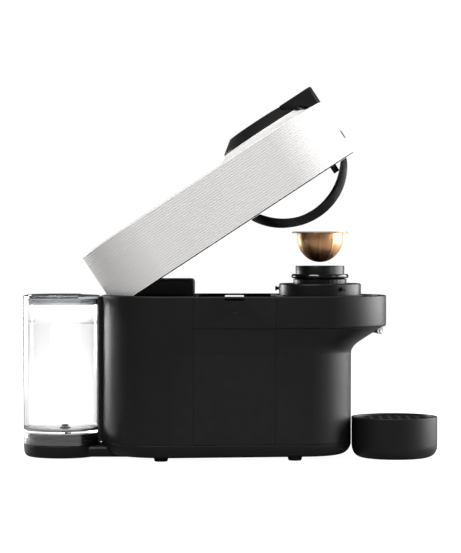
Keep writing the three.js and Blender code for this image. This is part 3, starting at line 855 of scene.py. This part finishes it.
def pod():
    low, high = span("pod_shell")
    rim_r = half_length("pod_shell")
    top, dome = high[2], low[2]
    wall_r, wall = 23.4, 0.5
    bowl_h, bowl_steps = 24.8, 18
    angles = [TURN / 4 * i / bowl_steps for i in range(bowl_steps + 1)]
    bowl = [(wall_r * math.sin(a), dome + bowl_h * (1 - math.cos(a))) for a in angles]
    rim = [
        (wall_r, top - 1.1, 0.4), (rim_r - 0.4, top - 1.1, 0.3), (rim_r, top - 0.5, 0.3),
        (rim_r - 0.4, top, 0.3), (wall_r - 1, top, 0.4),
    ]
    outside = bowl + filleted(rim, 4)
    inside = [(wall_r - wall, top - 2)] + [(r * 0.97, z + wall) for r, z in reversed(bowl)]
    ribs, rib_width, rib_depth = 10, 0.05, 0.35
    phase = math.radians(-94)

    def rib(angle, r, z):
        """Narrow raised lines down the pod, fading towards the dome's middle and the rim."""
        step = TURN / ribs
        off = (angle - phase + step / 2) % step - step / 2
        fade = min(1.0, max(0.0, (r - 9) / 6)) * min(1.0, max(0.0, (top - 1.6 - z) / 1.5))
        return r + fade * rib_depth * math.exp(-((off / rib_width) ** 2)) - fade * 0.12 * abs(off) / step

    shell = turned("pod_body", outside + inside, AXIS_X, 360, wave=rib)
    finish(shell, COPPER, "pod", "pod_metal", "pod_shell", sharp=50)
    low, top = (corner[2] for corner in span("pod_foil"))
    foil_r = half_length("pod_foil")
    profile = filleted(
        [
            (0, low), (foil_r, low, 0.2), (foil_r, top - 0.1, 0.2), (foil_r - 3, top - 0.15, 1),
            (foil_r - 4, top - 0.3, 1), (0, top - 0.2),
        ],
        3,
    )
    lid = turned("pod_lid", profile, AXIS_X)
    finish(lid, FOIL, "pod", "pod_metal", "pod_foil")


# ---------------------------------------------------------------- water tank

TANK_WALL = 1.8
TANK_IN = TANK_R - TANK_WALL
TANK_FLOOR = 26.6


def tank_wall():
    ridge = 139.0
    profile = filleted(
        [
            (0, TANK_FLOOR), (TANK_IN, TANK_FLOOR, 1), (TANK_IN, TANK_LOW + 0.2),
            (TANK_R - 0.3, TANK_LOW), (TANK_R, TANK_LOW + 0.3), (TANK_R, TANK_LIP - 0.4),
            (TANK_R - 0.4, TANK_LIP), (TANK_IN + 0.3, TANK_LIP), (TANK_IN, TANK_LIP - 0.4),
            (TANK_IN, ridge + 0.6), (TANK_IN - 0.5, ridge + 0.3), (TANK_IN - 0.5, ridge - 0.3),
            (TANK_IN, ridge - 0.6), (TANK_IN, TANK_FLOOR + 1.8, 6), (0, TANK_FLOOR + 1.8),
        ],
        6,
    )
    wall = turned("tank_jar", profile, TANK_X)
    carve(wall, bar("hole", 3.4, (VALVE_X, 0, TANK_FLOOR - 5), (VALVE_X, 0, TANK_FLOOR + 6)))
    finish(wall, CLEAR, "tank", "clear_plastic", "tank_wall")


def tank_bottom():
    top, side, groove = TANK_FLOOR - CLEARANCE, TANK_IN - 0.4, TANK_IN - 1.4
    profile = filleted(
        [
            (0, TANK_LOW), (side, TANK_LOW, 0.6), (side, 19), (groove, 19.6), (groove, 22.4), (side, 23),
            (side, top, 0.6), (0, top),
        ],
        4,
    )
    foot = turned("tank_foot", profile, TANK_X)
    socket = bar("socket", 8, (VALVE_X, 0, TANK_LOW - 3), (VALVE_X, 0, 18))
    stem = bar("stem", 2.4, (VALVE_X, 0, 15), (VALVE_X, 0, 30))
    finish(carve(foot, socket, stem), MATTE, "tank", "black_plastic", "tank_bottom")


def flap_area(name, r, low, high, edge):
    """The part of the lid's disc behind the flap's hinge."""
    side = block("side", TANK_X - 60, edge, -60, 60, low - 1, high + 1)
    return keep(disc(name, r, low, high, TANK_X), side)


def tank_lid():
    low = TANK_LIP + CLEARANCE
    crown = [(TANK_R - 1.6, TANK_TOP - 0.9, 1.2), (TANK_R * 0.55, TANK_TOP - 0.15, 20), (0, TANK_TOP)]
    profile = filleted([(0, low), (TANK_R, low), (TANK_R, TANK_TOP - 1.8, 0.8), *crown], 8)
    lid = turned("tank_cover", profile, TANK_X)
    skirt = tube("skirt", TANK_IN - 2.4, TANK_IN - CLEARANCE, 157.5, low + 1, TANK_X)
    carve(lid, flap_area("opening", TANK_R - 4.4, low - 5, TANK_TOP + 3, FLAP_HINGE_X))
    finish(weld(lid, skirt), SMOKED, "tank", "smoked_plastic", "tank_lid")
    flap_low, flap_high = span("fill_flap")[0][2], span("fill_flap")[1][2]
    flap = flap_area("fill_door", TANK_R - 4.8, flap_low, flap_high, FLAP_HINGE_X - CLEARANCE)
    finish(soften(flap, 0.5), SMOKED, "flap", "smoked_plastic", "fill_flap")


def tank_valve():
    valve = turned(
        "valve_disc",
        filleted([(0, 18.4), (2, 18.4), (2, 28.7, 0.4), (5.9, 28.7, 0.4), (5.6, 30.4, 0.5), (0, 30.8)], 4),
        VALVE_X,
        48,
    )
    finish(valve, RED, "valve", "valve_red", "water_valve")
    profile = filleted([(0, 31.1), (3.6, 31.1, 0.3), (3.2, 33.2, 0.6), (0, 33.6)], 4)
    cap = turned("valve_button", profile, VALVE_X, 48)
    finish(cap, SATIN, "valve", "black_plastic", "valve_cap")


# ---------------------------------------------------------------- cup support and drip grid


def cup_support():
    floor = 4.0
    ledge = CUP_TOP - 4.4
    profile = filleted(
        [
            (0, 0), (CUP_R, 0, 14), (CUP_R, CUP_TOP, 0.9), (CUP_R - 2.4, CUP_TOP - 0.2, 0.5),
            (CUP_R - 2.8, ledge), (CUP_R - 5, ledge), (CUP_R - 5.2, floor, 12), (0, floor),
        ],
        12,
    )
    bowl = turned("cup_stand", profile, CUP_X, 160)
    finish(bowl, MATTE, "cup", "black_plastic", "cup_support")
    low, high = span("drip_grid")
    grid_r = half_length("drip_grid")
    profile = filleted([(0, low[2]), (grid_r, low[2]), (grid_r, high[2], 0.5), (0, high[2])], 4)
    grid = turned("cup_grid", profile, CUP_X)
    pitch, hole, across = 9.5, 6.4, range(-3, 4)
    cutter = Matrix.Diagonal((hole, hole, 12, 1))
    bm = bmesh.new()
    for column in across:
        for row in across:
            x, y = column * pitch, row * pitch
            if math.hypot(x, y) <= CUP_R - 11:
                place = Matrix.Translation((CUP_X + x, y, high[2]))
                bmesh.ops.create_cube(bm, size=1, matrix=place @ cutter)
    finish(soften(carve(grid, bm_object("holes", bm)), 0.3), GLOSS, "grid", "gloss_black", "drip_grid")


# ---------------------------------------------------------------- head, made shut and swung open

RIB_PITCH = 2.4
RIB_DEPTH = 0.34
CEILING = HEAD_TOP - SHELL_WALL
SLEEVE_R = 22.0
DRUM_R = 50.6
LEVER_HALF = 24.0


def lever_room():
    """The room that the lever sweeps through in the front of the plinth."""
    profile = [
        (31, PLINTH_TOP + 0.4), (45, PLINTH_TOP + 0.4), (53.5, HEAD_TOP + 0.5), (75, HEAD_TOP - 2),
        (75, 255), (31, 255),
    ]
    lid = turned("room", profile, AXIS_X, closed=True)
    sweep = [(AXIS_X, 0), (AXIS_X + 85, -122), (AXIS_X + 150, 0), (AXIS_X + 125, 72)]
    return keep(lid, lofted("sweep", [(220, sweep), (260, sweep)]))


def head_shell():
    low, high = HEAD_BOTTOM + 1, HEAD_TOP - 2
    per_rib = 4
    count = round((high - low) / RIB_PITCH) * per_rib
    sections = []
    for i in range(count + 1):
        inset = RIB_DEPTH * (0.5 - 0.5 * math.cos(TURN * i / per_rib))
        sections.append((low + (high - low) * i / count, band_plan(inset)))
    sections += [(HEAD_TOP - rise, band_plan(back)) for back, rise in reversed(quarter(2, 5))]
    shell = lofted("head_cover", sections)
    profile = filleted(
        [
            (0, HEAD_TOP - 1), (66, HEAD_TOP - 1), (66, HEAD_TOP - 0.3), (56, HEAD_TOP + 0.6, 8),
            (46.6, PLINTH_TOP - 2.4, 9), (PLINTH_R, PLINTH_TOP, 0.5), (0, PLINTH_TOP),
        ],
        10,
    )
    weld(shell, turned("plinth", profile, AXIS_X))
    hollow = lofted("hollow", [(HEAD_BOTTOM - 1, band_plan(SHELL_WALL)), (CEILING, band_plan(SHELL_WALL))])
    sleeve = bar("sleeve", SLEEVE_R + 1, (AXIS_X, 0, 200), (AXIS_X, 0, 260), 96)
    rear = [(-140, 160), (-99.5, 160), (-106.7, HEAD_BOTTOM), (-132.3, 184.3), (-140, 189.5)]
    carve(shell, hollow, lever_room(), sleeve, slab("rear_cut", rear, -REACH, REACH))
    finish(swing(shell), WHITE, "head", "white_plastic", "head_shell", sharp=48)


def head_frame():
    """The black under-tray with the two brackets that hold the hinge pin."""
    top = HEAD_BOTTOM + 5
    inset = SHELL_WALL + 0.4
    tray = lofted(
        "head_tray",
        [
            (HEAD_BOTTOM, band_plan(0.9)),
            (HEAD_BOTTOM + 0.3, band_plan(0.5)),
            (HEAD_BOTTOM + 0.8, band_plan(0.5)),
            (HEAD_BOTTOM + 0.81, band_plan(inset)),
            (top, band_plan(inset)),
        ],
    )
    half = span("hinge_hump")[1][1]
    carve(
        tray,
        block("hump_gap", -140, -29, -half - 1.2, half + 1.2, 150, top + 1),
        block("rear_gap", -140, -96, -REACH, REACH, 150, 190),
        bar("drum_gap", DRUM_R + 0.6, (AXIS_X, 0, 150), (AXIS_X, 0, 190), 128),
    )
    z = HINGE.z
    side = filleted(
        [(-96, top - 1), (-80, top - 1), (-92, z + 8, 2), (-104, z + 8, 3), (-107, z, 3), (-105, z - 6, 2)],
        5,
        closed=True,
    )
    weld(tray, slab("right", side, half + 1.6, 49), slab("left", side, -49, -half - 1.6))
    carve(tray, bar("pin_bore", PIN_R + 2 * CLEARANCE, (HINGE.x, -REACH, z), (HINGE.x, REACH, z), 48))
    finish(swing(tray), MATTE, "head", "black_plastic", "head_frame")


def press_parts():
    z = HEAD_BOTTOM + 32
    profile = filleted(
        [
            (24.4, z), (33, z, 0.8), (36, z + 3, 1), (36, z + 12, 2), (10, z + 16, 2),
            (10, CEILING - 5), (0, CEILING - 5), (0, z + 5), (24.4, z + 5),
        ],
        4,
        closed=True,
    )
    chamber = turned("press_bell", profile, AXIS_X, closed=True)
    finish(swing(chamber), SATIN, "head", "black_plastic", "brew_chamber")
    seal = turned(
        "press_seal",
        filleted([(21.5, z + 0.6, 0.8), (24, z + 0.6, 0.8), (24, z + 4.6), (21.5, z + 4.6)], 4, closed=True),
        AXIS_X,
        closed=True,
    )
    finish(swing(seal), RUBBER, "head", "rubber", "gasket")


def lock_ring():
    low = HEAD_BOTTOM + 0.8
    ring = turned(
        "lock_band",
        filleted([(47.6, low), (DRUM_R - 0.4, low, 0.5), (DRUM_R - 0.4, 186), (47.6, 186)], 4, closed=True),
        AXIS_X,
        closed=True,
    )
    claw_top = span("lock_pin_rear")[0][2] - 0.6
    for degrees in (210, -30, 90):
        claw = tube("claw", 43.8, 48.2, low, claw_top, 0)
        keep(claw, block("width", 30, 60, -9, 9, 150, OVERHEAD))
        weld(ring, turn_round_axis(claw, degrees))
    finish(swing(ring), SATIN, "lever", "black_plastic", "lock_ring")
    stop = tube("stop", 46.8, DRUM_R - 0.4, low - 8.3, low - CLEARANCE, 0)
    keep(stop, block("width", 30, 60, -4, 4, 150, OVERHEAD))
    turn_round_axis(stop, -31.7)
    stop.name = "lock_stop"
    finish(swing(soften(stop, 0.5)), SATIN, "lever", "black_plastic", "front_catch")


def lock_lever():
    hole_r = 17
    profile = filleted(
        [
            (hole_r, PLINTH_TOP + 0.3), (44.8, PLINTH_TOP + 0.3), (44.8, PLINTH_TOP + 1.4, 0.5),
            (31.5, DOME_TOP - 0.3, 1.5), (29, DOME_TOP, 1), (18, DOME_TOP + 0.2, 0.6),
            (hole_r, DOME_TOP - 0.6),
        ],
        8,
        closed=True,
    )
    dome = turned("lever_dome", profile, AXIS_X, closed=True)
    collar = tube("collar", hole_r, SLEEVE_R, CEILING - 3, PLINTH_TOP + 2, AXIS_X)
    finish(swing(weld(dome, collar)), MATTE, "lever", "gloss_black", "lock_dome")
    side = filleted(
        [
            (AXIS_X + 33, PLINTH_TOP + 0.8), (AXIS_X + 45.4, PLINTH_TOP + 0.8),
            (AXIS_X + 53.8, HEAD_TOP + 0.9, 4), (AXIS_X + HALF, HEAD_TOP - 1),
            (AXIS_X + HALF, DOME_TOP, 3), (AXIS_X + 29, DOME_TOP),
        ],
        6,
        closed=True,
    )
    lever = slab("lever_handle", side, -LEVER_HALF, LEVER_HALF)
    keep(lever, bar("front", HALF - 0.2, (AXIS_X, 0, 220), (AXIS_X, 0, 262), 128))
    profile = [
        (0, 230), (45.3, 230), (45.3, PLINTH_TOP + 1.6), (31.8, DOME_TOP - 0.4), (30, DOME_TOP + 2),
        (0, DOME_TOP + 2),
    ]
    clear_of = turned("clear_of", profile, AXIS_X)
    finish(swing(soften(carve(lever, clear_of), 0.9, 4)), SATIN, "lever", "black_plastic", "lock_lever")
    profile = filleted(
        [(14.9, DOME_TOP - 4), (16.6, DOME_TOP - 4), (16.6, DOME_TOP, 0.5), (14.9, DOME_TOP, 0.5)],
        4,
        closed=True,
    )
    light = turned("lamp_ring", profile, AXIS_X, closed=True)
    finish(swing(light), PALE, "lever", "clear_plastic", "light_ring")
    profile = filleted(
        [
            (0, DOME_TOP - 5), (14.4, DOME_TOP - 5), (14.4, DOME_TOP + 0.2, 1), (9, DOME_TOP + 0.5, 6),
            (0, DOME_TOP + 0.6),
        ],
        6,
    )
    button = turned("start_button", profile, AXIS_X)
    finish(swing(button), GLOSS, "button", "gloss_black", "brew_button")


HOOP_IN, HOOP_OUT = 53.5, 58.8
HOOP_ARC_R = 65.9
WINDOW_ARC_R = 61.0
WINDOW_ARC_Z = HEAD_BOTTOM + 34.0
WINDOW_SHIFT = 2.5


def ejector_hoop():
    """A ring that hangs below the head at its sides, with its root block behind."""
    top = HEAD_BOTTOM - CLEARANCE
    steps = 160
    bm = bmesh.new()
    rings = []
    for i in range(steps):
        a = TURN * i / steps
        corners = []
        for r in (HOOP_OUT, HOOP_IN):
            x = r * math.cos(a)
            low = min(top - 0.05, HOOP_ARC_Z - math.sqrt(HOOP_ARC_R**2 - x * x))
            inner = math.sqrt(max(0.0, WINDOW_ARC_R**2 - (x - WINDOW_SHIFT) ** 2))
            high = min(top, WINDOW_ARC_Z - inner)
            corners.append((x, r * math.sin(a), low, high))
        (xo, yo, lo, ho), (xi, yi, li, hi) = corners
        points = [(xo, yo, lo), (xo, yo, ho), (xi, yi, hi), (xi, yi, li)]
        rings.append([bm.verts.new((AXIS_X + x, y, z)) for x, y, z in points])
    for i in range(steps):
        here, ahead = rings[i], rings[(i + 1) % steps]
        for k in range(4):
            n = (k + 1) % 4
            bm.faces.new([here[k], ahead[k], ahead[n], here[n]])
    hoop = soften(bm_object("pod_hoop", bm), 0.7, 3, 50)
    root = filleted(
        [
            (AXIS_X - 63, top), (AXIS_X - 62, top - 5, 2), (AXIS_X - 57, top - 11, 2),
            (AXIS_X - 52, top - 11, 1), (AXIS_X - 50.5, top - 4.4), (AXIS_X - 50.5, top),
        ],
        4,
        closed=True,
    )
    weld(hoop, slab("root", root, -11, 11))
    finish(swing(hoop), SATIN, "head", "gloss_black", "ejector_hoop")


def badge():
    low = HEAD_BOTTOM + 17
    face = AXIS_X + HALF
    plate = soften(block("front_badge", face + 0.3, face + 1, -9, 9, low, low + 9), 0.3)
    finish(swing(plate), PALE, "head", "smoked_plastic", "badge_plate")


# ---------------------------------------------------------------- pieces kept from the frame

KEPT = {
    "pump": STEEL,
    "boiler": STEEL,
    "control_board": BOARD,
    "water_hose": RUBBER,
    "power_inlet": INNER,
    "motor_shaft": STEEL,
    "centrifuge_motor": STEEL,
    "water_inlet": RUBBER,
    "needle_plate": STEEL,
    "press_spider": STEEL,
}


def dress_kept():
    for node, material in KEPT.items():
        obj = frame["nodes"][node]
        obj.data.materials.clear()
        obj.data.materials.append(material)


# ---------------------------------------------------------------- floor, light, camera, in metres

FLOOR_GREYS = ((0.34, 0.34, 0.34), (0.38, 0.38, 0.38))
FLOOR_GLOW = 0.97
ROOM_LIGHT = 0.07
THROUGH_PLASTIC = 1.45

# Azimuth in degrees, height, distance, width, tallness and power of each light.
SOFT_BOXES = {
    "cup_side_light": (104, 0.3, 1.3, 1.25, 1.0, 37),
    "front_corner_light": (60, 0.6, 1.4, 0.4, 0.7, 4),
    "tank_side_light": (-130, 0.12, 1.3, 0.5, 0.5, 15),
    "near_light": (-30, 2.2, 1.9, 1.6, 0.6, 57),
    "top_light": (20, 2.0, 0.3, 1.0, 1.0, 10),
}
LIGHT_AIM = (0, 0, 0.15)
CAMERA_PLACE = (0, -2.386, 0.2285)
CAMERA_AIM = (0, 0, 0.186)
LENS = 151.0
SENSOR = 36.0


def floor():
    bpy.ops.mesh.primitive_plane_add(size=8)
    plane = bpy.context.object
    plane.name = "floor"
    material, tree, shader = blank("pale_floor")
    cloud = noise(tree, 6.0, 3.0)
    tree.links.new(mix_colours(tree, cloud, *FLOOR_GREYS), shader.inputs["Base Color"])
    shader.inputs["Roughness"].default_value = 0.9
    shader.inputs["Specular IOR Level"].default_value = 0.1
    shader.inputs["Emission Color"].default_value = (1, 1, 1, 1)
    rays = tree.nodes.new("ShaderNodeLightPath")
    seen = maths(tree, "MAXIMUM", rays.outputs["Is Camera Ray"], rays.outputs["Is Transmission Ray"])
    tree.links.new(maths(tree, "MULTIPLY", seen, FLOOR_GLOW), shader.inputs["Emission Strength"])
    plane.data.materials.append(material)


def world():
    """Plain white behind the machine, brighter through clear plastic and dim as a light."""
    scene.world = bpy.data.worlds.new("studio")
    scene.world.use_nodes = True
    tree = scene.world.node_tree
    tree.nodes.clear()
    rays = tree.nodes.new("ShaderNodeLightPath")
    through = maths(tree, "MULTIPLY", rays.outputs["Is Transmission Ray"], THROUGH_PLASTIC)
    seen = maths(tree, "MAXIMUM", rays.outputs["Is Camera Ray"], through)
    strength = maths(tree, "MAXIMUM", seen, ROOM_LIGHT)
    back = tree.nodes.new("ShaderNodeBackground")
    tree.links.new(strength, back.inputs["Strength"])
    back.inputs["Color"].default_value = (1, 1, 1, 1)
    out = tree.nodes.new("ShaderNodeOutputWorld")
    tree.links.new(back.outputs[0], out.inputs[0])


def aim(obj, point):
    obj.rotation_euler = (Vector(point) - obj.location).to_track_quat("-Z", "Y").to_euler()


def soft_box(name, azimuth, height, distance, width, tall, power):
    """A soft light at an azimuth from the side the camera is on, positive towards the cup side."""
    light = bpy.data.lights.new(name, "AREA")
    light.shape = "RECTANGLE"
    light.size = width
    light.size_y = tall
    light.energy = power
    obj = bpy.data.objects.new(name, light)
    a = math.radians(azimuth)
    obj.location = (distance * math.sin(a), -distance * math.cos(a), height)
    aim(obj, LIGHT_AIM)
    obj.visible_camera = False
    scene.collection.objects.link(obj)


def studio():
    world()
    floor()
    for name, values in SOFT_BOXES.items():
        soft_box(name, *values)
    scene.view_settings.view_transform = "Standard"
    camera = bpy.data.cameras.new("camera")
    camera.lens = LENS
    camera.sensor_width = SENSOR
    camera.sensor_fit = "AUTO"
    obj = bpy.data.objects.new("camera", camera)
    obj.location = CAMERA_PLACE
    aim(obj, CAMERA_AIM)
    scene.collection.objects.link(obj)
    scene.camera = obj


# ---------------------------------------------------------------- the machine

rear_housing()
front_housing()
used_capsule_container()
base_plate()
feet()
hinge_hump()
seat()
spouts()
pod_holder()
pod()
tank_wall()
tank_bottom()
tank_lid()
tank_valve()
cup_support()
head_shell()
head_frame()
press_parts()
lock_ring()
lock_lever()
ejector_hoop()
badge()
dress_kept()
studio()
